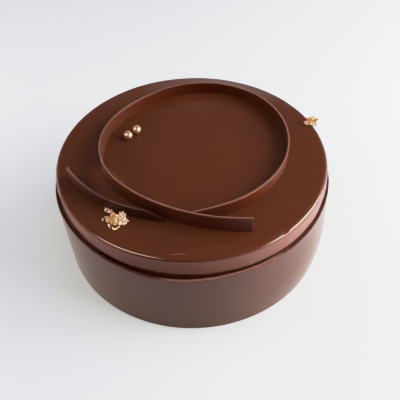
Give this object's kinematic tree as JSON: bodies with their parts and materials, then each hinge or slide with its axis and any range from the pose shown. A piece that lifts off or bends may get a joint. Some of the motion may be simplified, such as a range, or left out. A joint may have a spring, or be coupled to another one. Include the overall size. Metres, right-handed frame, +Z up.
{
  "type": "birthday cake",
  "caption": "Round glazed chocolate cake in a chocolate band, topped with a curled chocolate strip, a shorter strip, gold pearls and flakes of gold leaf.",
  "frame": {"origin": "middle of the cake's underside, on the surface that it stands on", "axes": "+Z up, -Y towards the front where the curled strip's loose end lies, +X to the right of someone facing the front"},
  "size_m": [0.17, 0.17, 0.073],
  "materials": {
    "glaze": "dark chocolate mirror glaze",
    "band_chocolate": "satin tempered chocolate",
    "strip_chocolate": "smooth tempered chocolate with pale cut edges",
    "pearl_gold": "rose gold dragee",
    "leaf_gold": "crumpled edible gold leaf"
  },
  "bodies": {
    "root": {"cake_body": "glaze", "chocolate_band": "band_chocolate", "loop_strip": "strip_chocolate", "tail_strip": "strip_chocolate", "pearl_1": "pearl_gold", "pearl_2": "pearl_gold", "gold_leaf_front": "leaf_gold", "gold_leaf_rear": "leaf_gold"}
  },
  "joints": []
}
